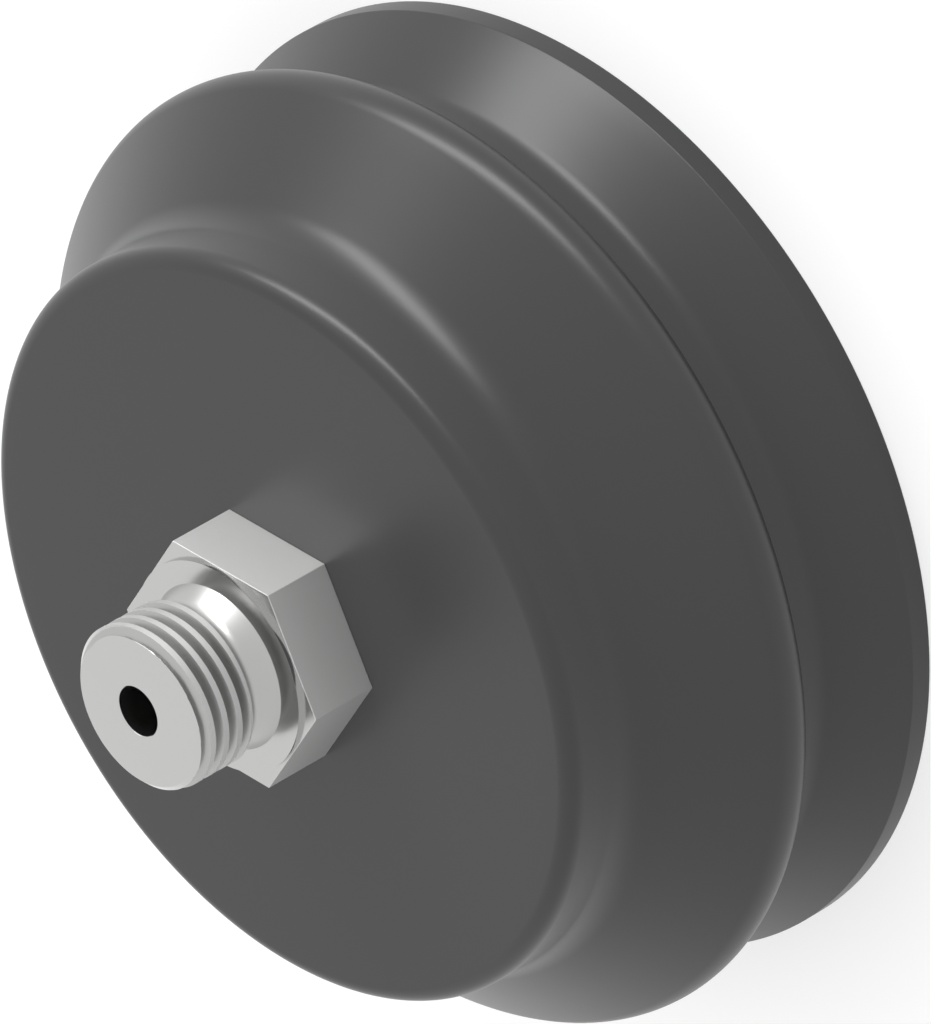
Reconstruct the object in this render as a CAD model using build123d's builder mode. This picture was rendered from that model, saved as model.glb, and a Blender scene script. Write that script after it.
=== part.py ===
from build123d import *
from math import acos, atan2, cos, hypot, radians, sin, tan
import os

# Bellows suction cup, millimetres, standing on its lip.
# The origin is the centre of the lip's plane and +Z is the cup's axis, towards the threaded end.
# Four pieces: a moulded rubber cup, a turned nipple with a hexagon, and the support disc and
# clamp nut that hold the cup's head against the hexagon from inside.

# Rubber cup: outside
cup_height = 29.25              # lip plane to the flat top of the head
head_diameter = 59.9            # upright wall of the head
head_rim_radius = 1.4           # rounding between the flat top and the upright wall
shoulder_depth = 6.05           # flat top down to the corner where the fold starts
shoulder_radius = 4.2           # hollow between the upright wall and the fold
fold_diameter = 75.8            # widest circle of the fold
fold_height = 14.25             # widest circle of the fold above the lip plane
fold_radius = 2.4               # rounding of the fold's crest
fold_reach = 4.3                # crest of the fold beyond the upright neck
neck_top_height = 11.0          # corner under the fold, above the lip plane
neck_top_radius = 1.2           # hollow between the fold's lower side and the neck
neck_bottom_height = 7.5        # corner where the skirt starts, above the lip plane
neck_bottom_radius = 2.4        # hollow between the neck and the skirt
lip_diameter = 75.2             # upright band round the lip
lip_band_height = 1.8

# Rubber cup: inside
head_thickness = 5.0
wall = 2.2                      # wall of the head's side, the fold, the neck and the skirt
lip_thickness = 1.0             # flat ring that meets the workpiece
ceiling_radius = 0.6            # rounding between the ceiling and the upright wall
inner_shoulder_radius = 2.4     # rounding of the ridge inside the shoulder
inner_fold_radius = 0.8         # rounding at the bottom of the fold's groove
inner_neck_radius = 1.2         # rounding of the two ridges inside the neck

# Nipple
hexagon_flats = 17.0
hexagon_height = 5.75
seal_face_diameter = 16.8       # round face that a sealing ring seats on
seal_face_height = 0.35
thread_diameter = 13.157        # crests of a G 1/4 pipe thread
thread_reach = 8.0              # sealing face to the end of the thread
thread_start = 2.8              # sealing face to the first thread
thread_end_chamfer = 0.6
undercut_diameter = 11.2
undercut_width = 0.7            # straight floor of the undercut
undercut_lead = 0.5             # sloped side of the undercut towards the thread
undercut_radius = 0.5
air_bore_diameter = 4.0
bore_chamfer = 0.12
spigot_diameter = 10.0          # goes through the head and takes the clamp nut
spigot_overhang = 1.0           # spigot left beyond the nut
spigot_chamfer = 0.5

# Support disc and clamp nut
disc_diameter = 24.0
disc_thickness = 1.5
disc_edge_chamfer = 0.3
nut_flats = 14.0
nut_height = 3.5
nut_corner_angle = 30.0         # bevel on the nut's corners, from its faces
nut_bore_chamfer = 0.35         # lead-in of the nut's thread, on both faces
half_side_angle = 30.0          # half of what one side of a hexagon spans, so flats face +X and -X

# Clearances round the spigot, on the radius
head_clearance = 0.1
disc_clearance = 0.15
nut_clearance = 0.05

os.makedirs("parts", exist_ok=True)

# Levels that the pieces share, above the lip plane
seat_level = cup_height
ceiling_level = cup_height - head_thickness
disc_level = ceiling_level - disc_thickness
nut_level = disc_level - nut_height
spigot_end_level = nut_level - spigot_overhang
hexagon_top_level = seat_level + hexagon_height
seal_face_level = hexagon_top_level + seal_face_height
thread_end_level = seal_face_level + thread_reach
spigot_radius = spigot_diameter / 2


def tangent_corner(center, radius, below, above):
    """Corner where the outer tangents to an arc from a point below it and one above it cross."""
    low, high = (
        atan2(point[1] - center[1], point[0] - center[0])
        + side * acos(radius / hypot(point[0] - center[0], point[1] - center[1]))
        for point, side in ((below, 1), (above, -1))
    )
    middle = (low + high) / 2
    reach = radius / cos((high - low) / 2)
    return (center[0] + reach * cos(middle), center[1] + reach * sin(middle))


def parallel(path, distance):
    """Path beside another, at a distance on its left, with its corners mitred."""
    points = [Vector(r, z) for r, z in path]
    runs = [(after - before).normalized() for before, after in zip(points, points[1:])]
    sides = [Vector(-run.Y, run.X) for run in runs]
    corners = [points[0] + sides[0] * distance]
    for point, before, after in zip(points[1:], sides, sides[1:]):
        corners.append(point + (before + after) * (distance / (1 + before.dot(after))))
    corners.append(points[-1] + sides[-1] * distance)
    return [(corner.X, corner.Y) for corner in corners]


# Outline of the cup's outside, from the lip up to the head, as sharp corners
lip_radius = lip_diameter / 2
neck_radius = fold_diameter / 2 - fold_reach
head_radius = head_diameter / 2
crest_center = (fold_diameter / 2 - fold_radius, fold_height)
lip_corner = (lip_radius, 0)
band_corner = (lip_radius, lip_band_height)
skirt_corner = (neck_radius, neck_bottom_height)
under_corner = (neck_radius, neck_top_height)
shoulder_corner = (head_radius, cup_height - shoulder_depth)
crest_corner = tangent_corner(crest_center, fold_radius, under_corner, shoulder_corner)
rim_corner = (head_radius, cup_height)

# Outline of its inside, parallel to the outside as far as the lip's thin edge
outside = [band_corner, skirt_corner, under_corner, crest_corner, shoulder_corner, rim_corner]
inside = parallel(outside, wall)
inner_lip = (lip_radius - lip_thickness, 0)
inner_skirt, inner_under, inner_crest, inner_shoulder = inside[1:5]
inner_ceiling = (inner_shoulder[0], ceiling_level)
hole_radius = spigot_radius + head_clearance

# Bellows cup, moulded in one piece
with BuildPart() as bellows_cup:
    with BuildSketch(Plane.XZ) as cup_section:
        with BuildLine():
            Polyline(
                lip_corner,
                *outside,
                (hole_radius, cup_height),
                (hole_radius, ceiling_level),
                inner_ceiling,
                inner_shoulder,
                inner_crest,
                inner_under,
                inner_skirt,
                inner_lip,
                close=True,
            )
        make_face()
        for corner, radius in (
            (rim_corner, head_rim_radius),
            (shoulder_corner, shoulder_radius),
            (crest_corner, fold_radius),
            (under_corner, neck_top_radius),
            (skirt_corner, neck_bottom_radius),
            (inner_ceiling, ceiling_radius),
            (inner_shoulder, inner_shoulder_radius),
            (inner_crest, inner_fold_radius),
            (inner_under, inner_neck_radius),
            (inner_skirt, inner_neck_radius),
        ):
            fillet(cup_section.vertices().sort_by_distance(corner)[0], radius)
    revolve(axis=Axis.Z)
bellows_cup.part.label = "bellows_cup"
export_step(bellows_cup.part, "parts/bellows_cup.step")

# Nipple, turned from hexagon bar and bored through for the air
thread_radius = thread_diameter / 2
undercut_floor = undercut_diameter / 2
undercut_top = seal_face_level + thread_start - undercut_lead
undercut_bottom = undercut_top - undercut_width
with BuildPart() as nipple:
    with BuildSketch(Plane.XY.offset(seat_level)):
        RegularPolygon(hexagon_flats / 2, 6, major_radius=False, rotation=half_side_angle)
    extrude(amount=hexagon_height)
    with BuildSketch(Plane.XY.offset(hexagon_top_level)):
        Circle(seal_face_diameter / 2)
    extrude(amount=seal_face_height)
    with BuildSketch(Plane.XZ) as stem_section:
        with BuildLine():
            Polyline(
                (0, seal_face_level),
                (thread_radius, seal_face_level),
                (undercut_floor, undercut_bottom),
                (undercut_floor, undercut_top),
                (thread_radius, seal_face_level + thread_start),
                (thread_radius, thread_end_level - thread_end_chamfer),
                (thread_radius - thread_end_chamfer, thread_end_level),
                (0, thread_end_level),
                close=True,
            )
        make_face()
        floor_corner = (undercut_floor, undercut_bottom)
        fillet(stem_section.vertices().sort_by_distance(floor_corner)[0], undercut_radius)
    revolve(axis=Axis.Z)
    with BuildSketch(Plane.XY.offset(spigot_end_level)):
        Circle(spigot_radius)
    extrude(amount=seat_level - spigot_end_level)
    spigot_end = nipple.faces().sort_by(Axis.Z)[0]
    chamfer(spigot_end.edges(), spigot_chamfer)
    with BuildSketch(Plane.XY.offset(spigot_end_level)):
        Circle(air_bore_diameter / 2)
    extrude(amount=thread_end_level - spigot_end_level, mode=Mode.SUBTRACT)
    stem_ends = nipple.faces().filter_by(Plane.XY).sort_by(Axis.Z)
    bore_mouths = [stem_ends[0].inner_wires()[0], stem_ends[-1].inner_wires()[0]]
    chamfer([edge for mouth in bore_mouths for edge in mouth.edges()], bore_chamfer)
nipple.part.label = "nipple"
export_step(nipple.part, "parts/nipple.step")

# Support disc, a flat washer that spreads the clamping force over the head
with BuildPart() as support_disc:
    with BuildSketch(Plane.XY.offset(disc_level)):
        Circle(disc_diameter / 2)
        Circle(spigot_radius + disc_clearance, mode=Mode.SUBTRACT)
    extrude(amount=disc_thickness)
    disc_rim = support_disc.edges().filter_by(GeomType.CIRCLE).group_by(SortBy.RADIUS)[-1]
    chamfer(disc_rim, disc_edge_chamfer)
support_disc.part.label = "support_disc"
export_step(support_disc.part, "parts/support_disc.step")

# Clamp nut, a low hexagon nut with its corners bevelled on both faces
bevel_radius = nut_flats / 2
nut_corner_radius = bevel_radius / cos(radians(half_side_angle))
bevel_drop = (nut_corner_radius - bevel_radius) * tan(radians(nut_corner_angle))
with BuildPart() as clamp_nut:
    with BuildSketch(Plane.XY.offset(nut_level)):
        RegularPolygon(bevel_radius, 6, major_radius=False, rotation=half_side_angle)
    extrude(amount=nut_height)
    with BuildSketch(Plane.XZ):
        with BuildLine():
            Polyline(
                (0, nut_level),
                (bevel_radius, nut_level),
                (nut_corner_radius, nut_level + bevel_drop),
                (nut_corner_radius, disc_level - bevel_drop),
                (bevel_radius, disc_level),
                (0, disc_level),
                close=True,
            )
        make_face()
    revolve(axis=Axis.Z, mode=Mode.INTERSECT)
    with BuildSketch(Plane.XY.offset(nut_level)):
        Circle(spigot_radius + nut_clearance)
    extrude(amount=nut_height, mode=Mode.SUBTRACT)
    nut_mouths = [face.inner_wires()[0] for face in clamp_nut.faces().filter_by(Plane.XY)]
    chamfer([edge for mouth in nut_mouths for edge in mouth.edges()], nut_bore_chamfer)
clamp_nut.part.label = "clamp_nut"
export_step(clamp_nut.part, "parts/clamp_nut.step")
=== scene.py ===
# Bellows suction cup, 75 mm, standing on its lip with its threaded nipple upwards.
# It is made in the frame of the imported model: the lip's plane is z = 0 and +Z is the cup's axis.
# Sizes are named in millimetres, and mm turns them to Blender's metres.
from math import atan2, ceil, cos, pi, radians, sin, sqrt, tan

import bmesh
import bpy
from mathutils import Matrix, Vector


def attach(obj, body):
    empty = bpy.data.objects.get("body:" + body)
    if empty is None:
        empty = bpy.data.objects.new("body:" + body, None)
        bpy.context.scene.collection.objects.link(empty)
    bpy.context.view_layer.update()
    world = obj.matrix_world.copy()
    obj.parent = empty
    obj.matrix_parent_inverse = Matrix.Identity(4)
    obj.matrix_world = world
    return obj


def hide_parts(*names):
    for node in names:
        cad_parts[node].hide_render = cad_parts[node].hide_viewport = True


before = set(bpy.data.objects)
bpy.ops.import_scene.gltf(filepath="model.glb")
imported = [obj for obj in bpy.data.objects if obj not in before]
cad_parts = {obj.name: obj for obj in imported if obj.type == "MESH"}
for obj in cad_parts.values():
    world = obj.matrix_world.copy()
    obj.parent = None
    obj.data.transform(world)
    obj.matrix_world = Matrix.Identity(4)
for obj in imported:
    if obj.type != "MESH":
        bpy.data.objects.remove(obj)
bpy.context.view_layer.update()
mm = 0.001


# Rubber bellows cup
# One compression moulding in black nitrile rubber: head with a rounded rim, upright wall, one
# fold, a short neck and a flared skirt that thins into the lip. Its section is turned round the
# axis, as the mould's cavity is.

cup_height = 29.25
ceiling_height = 24.25          # underside of the head
lip_radius = 37.6
neck_radius = 33.6
head_radius = 29.95
hole_radius = 5.1               # hole in the head for the nipple's spigot
wall = 2.2
lip_thickness = 1.0             # flat ring that meets the workpiece
outer_section = [               # radius, height, rounding, from the lip up to the hole
    (lip_radius, 0.0, 0.12),
    (lip_radius, 1.8, 0.2),
    (neck_radius, 7.5, 2.4),
    (neck_radius, 11.0, 1.2),
    (39.855, 13.287, 2.4),      # crest of the fold, where its two tangents cross
    (head_radius, 23.2, 4.2),
    (head_radius, cup_height, 1.4),
    (hole_radius, cup_height, 0.1),
]
inner_section = [               # from the hole back down to the lip, a wall inside the other
    (hole_radius, ceiling_height, 0.1),
    (head_radius - wall, ceiling_height, 0.6),
    (head_radius - wall, 22.289, 2.4),
    (35.863, 14.17, 0.8),
    (neck_radius - wall, 12.538, 1.2),
    (neck_radius - wall, 6.805, 1.2),
    (lip_radius - lip_thickness, 0.0, 0.12),
]
cup_steps = 256                 # faces once round the cup
cup_crease = 25                 # degrees between two faces from which their edge looks sharp
arc_step = 4                    # degrees of a rounding that one edge spans
weld = 0.0001                   # points nearer than this become one


def draw_section(mesh, corners, longest, closed=True):
    """Draws a section in the XZ plane from corners, each a radius, a height and a rounding.
    No straight edge of it is left longer than longest."""
    places = [Vector((radius, 0, height)) * mm for radius, height, rounding in corners]
    first = last = None
    for i, here in enumerate(places):
        rounding = corners[i][2] * mm
        start = end = mesh.verts.new(here)
        if rounding:
            back = (places[i - 1] - here).normalized()
            on = (places[(i + 1) % len(places)] - here).normalized()
            turn = pi - back.angle(on)
            start.co = here + back * rounding * tan(turn / 2)
            center = here + (back + on).normalized() * rounding / cos(turn / 2)
            arc = bmesh.ops.spin(
                mesh, geom=[start], cent=center, axis=back.cross(on), angle=-turn,
                steps=max(2, ceil(turn / radians(arc_step))),
            )
            end = next(v for v in arc["geom_last"] if isinstance(v, bmesh.types.BMVert))
        if last:
            mesh.edges.new((last, start))
        first = first or start
        last = end
    if closed:
        mesh.edges.new((last, first))
    for edge in mesh.edges[:]:
        cuts = ceil(edge.calc_length() / (longest * mm)) - 1
        if cuts > 0:
            bmesh.ops.subdivide_edges(mesh, edges=[edge], cuts=cuts)


def keep_piece(mesh, name, node, crease):
    """Closes a mesh, shades it smooth between its sharp edges, and makes it the piece that
    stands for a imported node."""
    bmesh.ops.remove_doubles(mesh, verts=mesh.verts, dist=weld * mm)
    bmesh.ops.recalc_face_normals(mesh, faces=mesh.faces)
    for face in mesh.faces:
        face.smooth = True
    for edge in mesh.edges:
        edge.smooth = len(edge.link_faces) == 2 and edge.calc_face_angle(0) < radians(crease)
    data = bpy.data.meshes.new(name)
    mesh.to_mesh(data)
    mesh.free()
    piece = bpy.data.objects.new(name, data)
    bpy.context.scene.collection.objects.link(piece)
    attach(piece, "root")
    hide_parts(node)
    return piece


cup_mesh = bmesh.new()
draw_section(cup_mesh, outer_section + inner_section, longest=2.0)
bmesh.ops.spin(
    cup_mesh, geom=cup_mesh.verts[:] + cup_mesh.edges[:], cent=(0, 0, 0), axis=(0, 0, 1),
    angle=2 * pi, steps=cup_steps, use_merge=True,
)
cup = keep_piece(cup_mesh, "rubber_bellows_cup", "bellows_cup", cup_crease)


def colour(code):
    """Linear colour of an sRGB hex value."""
    parts = [int(code[i:i + 2], 16) / 255 for i in (1, 3, 5)]
    return [c / 12.92 if c <= 0.04045 else ((c + 0.055) / 1.055) ** 2.4 for c in parts] + [1]


def new_material(name, settings):
    """Material whose Principled shader has these settings."""
    material = bpy.data.materials.new(name)
    material.use_nodes = True
    shader = material.node_tree.nodes["Principled BSDF"]
    for key, value in settings.items():
        shader.inputs[key].default_value = value
    return material


def add(material, kind, settings=None, **links):
    """Adds a shader node with its settings, and links its inputs to other nodes' outputs."""
    tree = material.node_tree
    node = tree.nodes.new(kind)
    for name, value in (settings or {}).items():
        if hasattr(node, name):
            setattr(node, name, value)
        else:
            node.inputs[name].default_value = value
    for name, source in links.items():
        socket = next(s for s in node.inputs if s.identifier == name)
        tree.links.new(source, socket)
    return node


def to_shader(material, output, name):
    """Links a node's output to the material's own Principled shader."""
    shader = material.node_tree.nodes["Principled BSDF"]
    material.node_tree.links.new(output, shader.inputs[name])


# Nitrile rubber from a fine-blasted steel mould: charcoal black with a soft satin sheen. The
# blasting's grain only breaks up the edges of the highlights, and is drawn at 0.5 mm, coarser
# than the real one, so that it shows at all.
nitrile = new_material("moulded_nitrile_rubber", {
    "Base Color": colour("#2e2e2f"),
    "Roughness": 0.34,
    "IOR": 1.5,
})
place = add(nitrile, "ShaderNodeTexCoord")
grain = add(
    nitrile, "ShaderNodeTexNoise", {"Scale": 1 / (0.5 * mm), "Detail": 2.0},
    Vector=place.outputs["Object"],
)
bump = add(
    nitrile, "ShaderNodeBump", {"Strength": 0.03, "Distance": 0.05 * mm},
    Height=grain.outputs["Fac"],
)
to_shader(nitrile, bump.outputs["Normal"], "Normal")
cup.data.materials.append(nitrile)


# Threaded nipple
# One piece turned from 17 mm hexagon brass bar, bored through for the air, threaded G 1/4 above
# an undercut, and nickel plated. Its threaded spigot passes down through the rubber head.

hexagon_flats = 17.0
hexagon_edge = 0.03             # broken edges of the hexagon
hexagon_base = cup_height
hexagon_top = 35.0
half_side = 30                  # degrees, half of what one side of the hexagon spans
seal_face = 35.35
seal_face_radius = 8.4
undercut_radius = 5.6
cone_top = 36.95                # where the cone would meet the undercut without its fillet
cone_fillet = 1.6
cone_fillet_steps = 6
thread_radius = 13.157 / 2
thread_pitch = 25.4 / 19
thread_depth = 0.76
thread_crest = 0.5
thread_lead = 0.5               # height of the slope up to the first crest
thread_low = 37.65
thread_high = 43.35
thread_phase = 38.2             # lower edge of a crest over the +X axis
thread_steps = 256              # faces in one turn
end_chamfer = 0.6
end_turn = 45                   # degrees between the end's chamfer and its face
end_radius = thread_radius - end_chamfer    # of the end face, before its rounding
end_rounding = 0.15             # radius between the chamfer and the face
bore_radius = 2.0
bore_chamfer = 0.05
spigot_radius = 5.0
spigot_end = 18.25
spigot_chamfer = 0.5
spigot_pitch = 1.0
spigot_depth = 0.6
spigot_crest = 0.25
spigot_thread_high = 23.5
spigot_phase = 18.5             # lower edge of a crest over the +X axis
spigot_steps = 192              # faces in one turn
flank_angle = 27.5              # degrees, between a thread's flank and a plane across its axis
nipple_crease = 22              # degrees between two faces from which their edge looks sharp
thread_weld = 0.001             # points of a thread nearer than this become one
cut_reach = 0.004               # points of a thread this near a cut move onto it


def border(mesh, height):
    """Edges of the open borders at a height."""
    return [
        edge for edge in mesh.edges if edge.is_boundary
        and all(abs(vert.co.z - height * mm) < thread_weld * mm for vert in edge.verts)
    ]


def thread_surface(mesh, radius, pitch, depth, crest, low, high, phase, blank, breaks, steps):
    """Winds one pitch of a thread's section into a helix, and trims it to a turned blank.
    Extra edge rings are cut at the heights called breaks, where the blank changes slope.
    Returns the edges round its lower and its upper end."""
    start = phase - pitch * (1 + ceil((phase - low) / pitch))
    flank = depth * tan(radians(flank_angle))
    draw_section(mesh, [
        (radius, start, 0),
        (radius, start + crest, 0),
        (radius - depth, start + crest + flank, 0),
        (radius - depth, start + pitch - flank, 0),
        (radius, start + pitch, 0),
    ], longest=0.1, closed=False)
    bmesh.ops.spin(
        mesh, geom=mesh.verts[:] + mesh.edges[:], cent=(0, 0, 0), axis=(0, 0, 1),
        dvec=(0, 0, pitch * mm / steps), angle=2 * pi, steps=steps,
    )
    one_turn = mesh.verts[:] + mesh.edges[:] + mesh.faces[:]
    for k in range(1, ceil((high - start) / pitch) + 1):
        copy = bmesh.ops.duplicate(mesh, geom=one_turn)["geom"]
        verts = [v for v in copy if isinstance(v, bmesh.types.BMVert)]
        bmesh.ops.translate(mesh, verts=verts, vec=(0, 0, k * pitch * mm))
    bmesh.ops.remove_doubles(mesh, verts=mesh.verts, dist=thread_weld * mm)
    for height, side in [(low, -1), (high, 1)] + [(height, 0) for height in breaks]:
        is_end = side != 0
        bmesh.ops.bisect_plane(
            mesh, geom=mesh.verts[:] + mesh.edges[:] + mesh.faces[:], dist=cut_reach * mm,
            plane_co=(0, 0, height * mm), plane_no=(0, 0, side or 1), clear_outer=is_end,
        )
        level = {v for v in mesh.verts if abs(v.co.z - height * mm) < cut_reach * mm}
        for vert in level:
            vert.co.z = height * mm
        if is_end:
            flat = [f for f in mesh.faces if level.issuperset(f.verts)]
            bmesh.ops.delete(mesh, geom=flat, context="FACES")
    for vert in mesh.verts:
        limit = blank(vert.co.z / mm) * mm
        if vert.co.xy.length > limit:
            vert.co.xy = vert.co.xy.normalized() * limit
    return border(mesh, low), border(mesh, high)


def turn_on(mesh, ring, steps):
    """Carries a ring of edges on through the turned steps, each a radius and a height."""
    for radius, height in steps:
        made = bmesh.ops.extrude_edge_only(mesh, edges=ring)["geom"]
        verts = {v for v in made if isinstance(v, bmesh.types.BMVert)}
        for vert in verts:
            vert.co.xy = vert.co.xy.normalized() * radius * mm
            vert.co.z = height * mm
        ring = [e for e in made if isinstance(e, bmesh.types.BMEdge) and verts.issuperset(e.verts)]


def join(mesh, other):
    """Moves another mesh into a mesh."""
    data = bpy.data.meshes.new("joined")
    other.to_mesh(data)
    other.free()
    mesh.from_mesh(data)
    bpy.data.meshes.remove(data)


def stem_blank(height):
    """Radius of the turned blank that the pipe thread is cut on: the slope up from the
    undercut, the thread's own radius, the end's chamfer, and the rounding into its face."""
    lead = max(0, height - thread_low) / thread_lead
    radius = min(
        thread_radius,
        undercut_radius + lead * (thread_radius - undercut_radius),
        end_radius + thread_high - height,
    )
    level = height - thread_high + end_rounding
    if level > end_rounding * cos(radians(end_turn)):
        arc = sqrt(max(0, end_rounding ** 2 - level ** 2))
        radius = min(radius, end_radius - end_rounding * tan(radians(end_turn / 2)) + arc)
    return radius


def spigot_blank(height):
    """Radius of the turned spigot that its own thread is cut on."""
    return min(spigot_radius, spigot_radius - spigot_chamfer + height - spigot_end)


# The stem: thread, rounded end edge, end face and bore above, undercut, cone and round
# sealing face below
nipple_mesh = bmesh.new()
rounding_levels = [
    thread_high - end_rounding * (1 - cos(radians(turn))) for turn in (end_turn, end_turn / 2)
]
stem_foot, stem_end = thread_surface(
    nipple_mesh, radius=thread_radius, pitch=thread_pitch, depth=thread_depth,
    crest=thread_crest, low=thread_low, high=thread_high, phase=thread_phase, blank=stem_blank,
    breaks=[thread_low + thread_lead, thread_high - end_chamfer] + rounding_levels,
    steps=thread_steps,
)
cone_slope = atan2(thread_radius - undercut_radius, cone_top - seal_face)
fillet_top = cone_top + cone_fillet * tan(cone_slope / 2)
fillet = [
    (
        undercut_radius + cone_fillet * (1 - cos(cone_slope * k / cone_fillet_steps)),
        fillet_top - cone_fillet * sin(cone_slope * k / cone_fillet_steps),
    )
    for k in range(cone_fillet_steps + 1)
]
turn_on(nipple_mesh, stem_foot, fillet + [
    (thread_radius, seal_face), (seal_face_radius, seal_face), (seal_face_radius, hexagon_top),
])
turn_on(nipple_mesh, stem_end, [
    (bore_radius + bore_chamfer, thread_high), (bore_radius, thread_high - bore_chamfer),
])

# The spigot, with its own finer thread, and the bore between the two ends
spigot_mesh = bmesh.new()
spigot_foot, spigot_top = thread_surface(
    spigot_mesh, radius=spigot_radius, pitch=spigot_pitch, depth=spigot_depth,
    crest=spigot_crest, low=spigot_end, high=spigot_thread_high, phase=spigot_phase,
    blank=spigot_blank, breaks=[spigot_end + spigot_chamfer], steps=spigot_steps,
)
turn_on(spigot_mesh, spigot_top, [(spigot_radius, hexagon_base)])
turn_on(spigot_mesh, spigot_foot, [
    (bore_radius + bore_chamfer, spigot_end), (bore_radius, spigot_end + bore_chamfer),
])
join(nipple_mesh, spigot_mesh)
bore_levels = (thread_high - bore_chamfer, spigot_end + bore_chamfer)
bmesh.ops.bridge_loops(
    nipple_mesh, edges=[e for level in bore_levels for e in border(nipple_mesh, level)],
)

# The hexagon, two of its flats facing +X and -X, its edges broken and its two ends open
hexagon_mesh = bmesh.new()
bmesh.ops.create_circle(
    hexagon_mesh, cap_ends=True, segments=6,
    radius=hexagon_flats / 2 / cos(radians(half_side)) * mm,
    matrix=Matrix.Translation((0, 0, hexagon_base * mm)),
)
sides = bmesh.ops.extrude_face_region(hexagon_mesh, geom=hexagon_mesh.faces[:])["geom"]
bmesh.ops.translate(
    hexagon_mesh, verts=[v for v in sides if isinstance(v, bmesh.types.BMVert)],
    vec=(0, 0, (hexagon_top - hexagon_base) * mm),
)
bmesh.ops.recalc_face_normals(hexagon_mesh, faces=hexagon_mesh.faces)
bmesh.ops.bevel(
    hexagon_mesh, geom=hexagon_mesh.edges[:], offset=hexagon_edge * mm, offset_type="OFFSET",
    affect="EDGES", segments=1, profile=0.5, material=-1,
)
ends = [
    f for f in hexagon_mesh.faces
    if len(f.verts) == 6 and f.calc_center_median().xy.length < mm
]
bmesh.ops.delete(hexagon_mesh, geom=ends, context="FACES_ONLY")
join(nipple_mesh, hexagon_mesh)
for height in (hexagon_top, hexagon_base):
    bmesh.ops.triangle_fill(
        nipple_mesh, use_beauty=True, edges=border(nipple_mesh, height), normal=(0, 0, 1),
    )
nipple = keep_piece(
    nipple_mesh, "turned_nipple", "nipple", nipple_crease,
)


def turning_rings(material, feed):
    """Uneven fine rings round the axis, on faces and on sides, as a lathe tool leaves them."""
    place = add(material, "ShaderNodeTexCoord")
    flat = add(
        material, "ShaderNodeVectorMath", {"operation": "MULTIPLY", "Vector_001": (1, 1, 0)},
        Vector=place.outputs["Object"],
    )
    across = add(
        material, "ShaderNodeVectorMath", {"operation": "LENGTH"}, Vector=flat.outputs["Vector"],
    )
    along = add(material, "ShaderNodeSeparateXYZ", Vector=place.outputs["Object"])
    path = add(
        material, "ShaderNodeMath", {"operation": "ADD"},
        Value=across.outputs["Value"], Value_001=along.outputs["Z"],
    )
    return add(
        material, "ShaderNodeTexNoise",
        {"noise_dimensions": "1D", "Scale": 1 / (feed * mm), "Detail": 1.0},
        W=path.outputs["Value"],
    )


# Nickel plate over turned brass: bright, with reflections only a little blurred, and fine rings
# from the tool's feed that draw the highlights out.
turned_finish = new_material("nickel_plated_turned_brass", {
    "Base Color": colour("#c4c4c3"),
    "Metallic": 1.0,
    "Roughness": 0.2,
})
rings = turning_rings(turned_finish, feed=0.08)
bump = add(
    turned_finish, "ShaderNodeBump", {"Strength": 0.2, "Distance": 0.002 * mm},
    Height=rings.outputs["Fac"],
)
to_shader(turned_finish, bump.outputs["Normal"], "Normal")

# Nickel plate over the bar's own drawn surface, on the hexagon's sides: matt beside the turned
# faces, with wide soft highlights and faint marks along the bar from the drawing die. The crests
# of the thread, which the die that cut it has rubbed, look the same. Its colour is painted light:
# lighter than the turned plate's, so that these faces stay bright where they mirror the dark
# rubber.
drawn_and_lit_finish = new_material("nickel_plated_drawn_brass_painted_light", {
    "Base Color": colour("#dededd"),
    "Metallic": 1.0,
    "Roughness": 0.55,
})
place = add(drawn_and_lit_finish, "ShaderNodeTexCoord")
stretched = add(
    drawn_and_lit_finish, "ShaderNodeMapping", {"Scale": (1 / (0.2 * mm), 1 / (0.2 * mm), 1 / (6 * mm))},
    Vector=place.outputs["Object"],
)
marks = add(
    drawn_and_lit_finish, "ShaderNodeTexNoise", {"Scale": 1.0, "Detail": 2.0},
    Vector=stretched.outputs["Vector"],
)
bump = add(
    drawn_and_lit_finish, "ShaderNodeBump", {"Strength": 0.1, "Distance": 0.004 * mm},
    Height=marks.outputs["Fac"],
)
to_shader(drawn_and_lit_finish, bump.outputs["Normal"], "Normal")

# The same plate down in the pipe thread's grooves, on the undercut and on its cone, a little
# duller,
# and with painted shade: its colour is darker than the turned plate's so that these hollows stay
# dark.
groove_shade_finish = new_material("nickel_plated_brass_painted_groove_shade", {
    "Base Color": colour("#b4b4b3"),
    "Metallic": 1.0,
    "Roughness": 0.32,
})

for finish in (turned_finish, drawn_and_lit_finish, groove_shade_finish):
    nipple.data.materials.append(finish)
drawn, groove = 1, 2            # their places in that list; every other face is turned
bore_reach = bore_radius + 0.5  # no face of the bore lies further out
neck_end = thread_low + 0.45    # just below the first crest
thread_end = thread_high - 0.05
crest_radius = thread_radius - 0.01
groove_radius = thread_radius - 0.005
for face in nipple.data.polygons:
    middle = face.center / mm
    out = middle.xy.length
    slope = abs(face.normal.z)
    if out < bore_reach:
        continue
    hexagon_side = hexagon_base < middle.z < hexagon_top and slope < 0.8    # and its edges
    neck = seal_face < middle.z < neck_end
    threaded = neck_end < middle.z < thread_end
    crest = threaded and slope < 0.5 and out > crest_radius
    chamfered = 0.68 < slope < 0.74         # at 45 degrees
    # crests and hexagon sides: painted light, the lighter copy of the plate
    if crest or hexagon_side:
        face.material_index = drawn
    # grooves, undercut and cone: painted shade, the darker copy of the plate
    elif neck or threaded and out < groove_radius and not chamfered:
        face.material_index = groove


# Support disc and clamp nut
# A turned aluminium washer under the rubber head, and a low zinc-plated steel nut on the
# spigot, which pulls the head between the washer and the hexagon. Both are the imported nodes.

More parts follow.
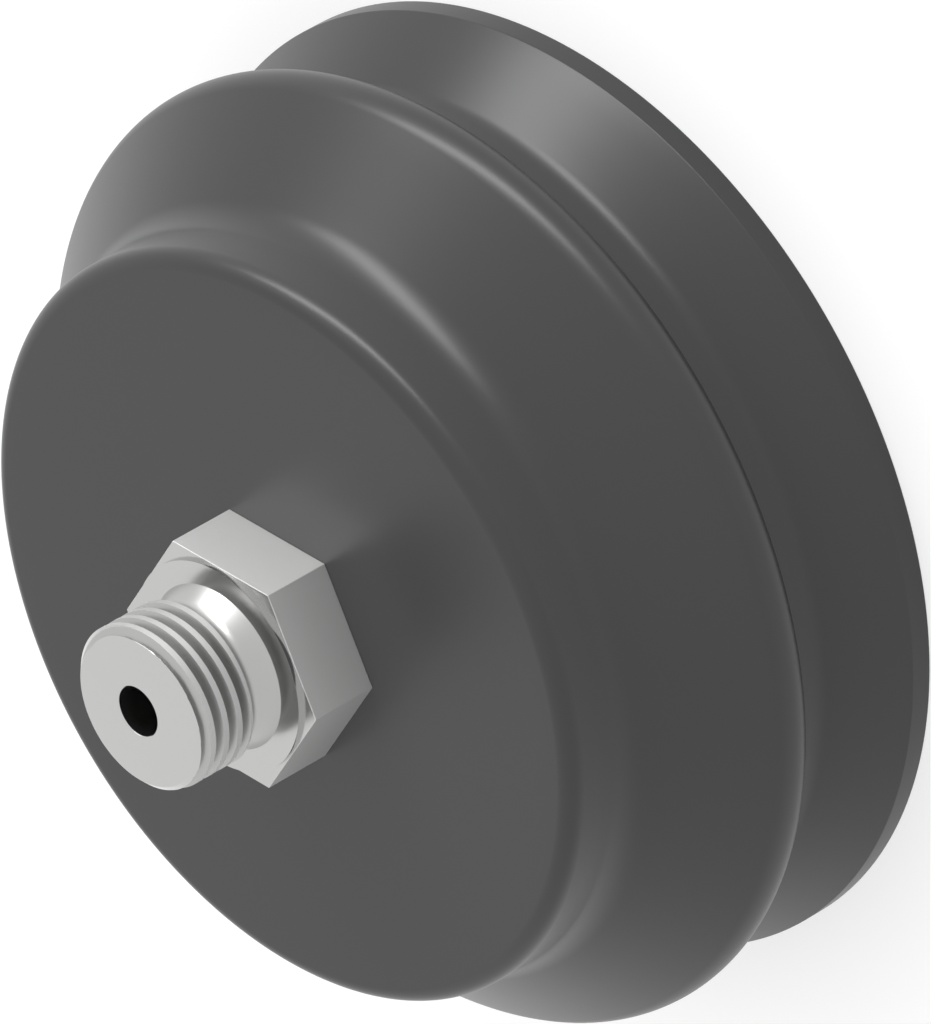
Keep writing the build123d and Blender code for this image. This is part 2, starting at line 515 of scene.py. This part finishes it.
# Turned aluminium: pale and satin, with the rings of a coarser feed than the nipple's.
aluminium = new_material("turned_aluminium", {
    "Base Color": colour("#d5d6d8"),
    "Metallic": 1.0,
    "Roughness": 0.35,
})
rings = turning_rings(aluminium, feed=0.15)
bump = add(
    aluminium, "ShaderNodeBump", {"Strength": 0.3, "Distance": 0.004 * mm},
    Height=rings.outputs["Fac"],
)
to_shader(aluminium, bump.outputs["Normal"], "Normal")

# Zinc plate, barrel plated: an even grey with cloudy patches that are a little more matt.
zinc = new_material("zinc_plated_steel", {
    "Base Color": colour("#c3c5c7"),
    "Metallic": 1.0,
})
place = add(zinc, "ShaderNodeTexCoord")
clouds = add(
    zinc, "ShaderNodeTexNoise", {"Scale": 1 / (3 * mm), "Detail": 3.0},
    Vector=place.outputs["Object"],
)
matt = add(
    zinc, "ShaderNodeMapRange", {"To Min": 0.3, "To Max": 0.5},
    Value=clouds.outputs["Fac"],
)
to_shader(zinc, matt.outputs["Result"], "Roughness")

for node, finish in (("support_disc", aluminium), ("clamp_nut", zinc)):
    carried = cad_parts[node].data
    carried.materials.clear()
    carried.materials.append(finish)


# Table
# A plain white board, larger than the picture shows. Seen by the camera or in a reflection it
# also glows a little, so the open part is pure white and only the cup's own shadow stays grey.

table_mesh = bmesh.new()
bmesh.ops.create_grid(table_mesh, x_segments=1, y_segments=1, size=3.0)
table_data = bpy.data.meshes.new("table")
table_mesh.to_mesh(table_data)
table_mesh.free()
table = bpy.data.objects.new("table", table_data)
bpy.context.scene.collection.objects.link(table)

# Matt white laminate, even and without a sheen.
white_board = new_material("white_board", {
    "Base Color": colour("#b8b8b8"),
    "Roughness": 0.9,
    "Specular IOR Level": 0.2,
    "Emission Color": (1, 1, 1, 1),
})
ray = add(white_board, "ShaderNodeLightPath")
mirrored = add(
    white_board, "ShaderNodeMath", {"operation": "MAXIMUM"},
    Value=ray.outputs["Is Glossy Ray"], Value_001=ray.outputs["Is Transmission Ray"],
)
seen = add(
    white_board, "ShaderNodeMath", {"operation": "MAXIMUM"},
    Value=ray.outputs["Is Camera Ray"], Value_001=mirrored.outputs["Value"],
)
glow = add(
    white_board, "ShaderNodeMath", {"operation": "MULTIPLY", "Value_001": 0.55},
    Value=seen.outputs["Value"],
)
to_shader(white_board, glow.outputs["Value"], "Emission Strength")
table.data.materials.append(white_board)


# Light
# Soft white light from all round, a low strip lamp on the +X side, which draws the long
# highlights along the head's rim and the fold, and a weaker soft lamp above its far end.

world = bpy.data.worlds.new("studio")
world.use_nodes = True
background = world.node_tree.nodes["Background"]
background.inputs["Color"].default_value = (1, 1, 1, 1)
background.inputs["Strength"].default_value = 1.0
bpy.context.scene.world = world


def direction(azimuth, elevation):
    """Unit vector, from an azimuth about +Z and an elevation above the table, in degrees."""
    side, rise = radians(azimuth), radians(elevation)
    return Vector((cos(rise) * cos(side), cos(rise) * sin(side), sin(rise)))


lit_point = Vector((0, 0, 20)) * mm
lamp_distance = 1.0             # metres, as the lamps' sizes are


def lamp(name, out, along, size, power):
    """Rectangular lamp that faces the cup from a direction, its first side along another."""
    light = bpy.data.lights.new(name, "AREA")
    light.shape = "RECTANGLE"
    light.size, light.size_y = size
    light.energy = power
    holder = bpy.data.objects.new(name, light)
    x = (along - out * along.dot(out)).normalized()
    turn = Matrix((x, out.cross(x), out)).transposed().to_4x4()
    holder.matrix_world = Matrix.Translation(lit_point + out * lamp_distance) @ turn
    bpy.context.scene.collection.objects.link(holder)


strip_run = direction(45, 24) - direction(-20, -6)      # from its low end to its high end
lamp("strip_lamp", out=direction(15, 10), along=strip_run, size=(1.16, 0.28), power=9.0)
lamp("soft_lamp", out=direction(44, 37), along=Vector((0, 0, 1)), size=(0.5, 0.45), power=0.45)


# Camera
# A long lens from 1.1 m, looking down on the cup at 36 degrees, and turned about its own axis
# so that the nipple points to the lower left.

aim = Vector((0.65, 0.634, 9.285)) * mm
camera_distance = 1105.13
camera_azimuth = -45.735
camera_elevation = 35.739
camera_roll = -119.469          # degrees about the line of sight
camera_data = bpy.data.cameras.new("camera")
camera_data.sensor_width = 36.0
camera_data.lens = 529.1
camera_data.clip_start = 0.1
camera_data.clip_end = 20.0
camera = bpy.data.objects.new("camera", camera_data)
back = direction(camera_azimuth, camera_elevation)
roll = Matrix.Rotation(radians(camera_roll), 4, "Z").to_quaternion()
camera.location = aim + back * camera_distance * mm
camera.rotation_mode = "QUATERNION"
camera.rotation_quaternion = back.to_track_quat("Z", "Y") @ roll
bpy.context.scene.collection.objects.link(camera)
bpy.context.scene.camera = camera
bpy.context.scene.view_settings.view_transform = "Standard"
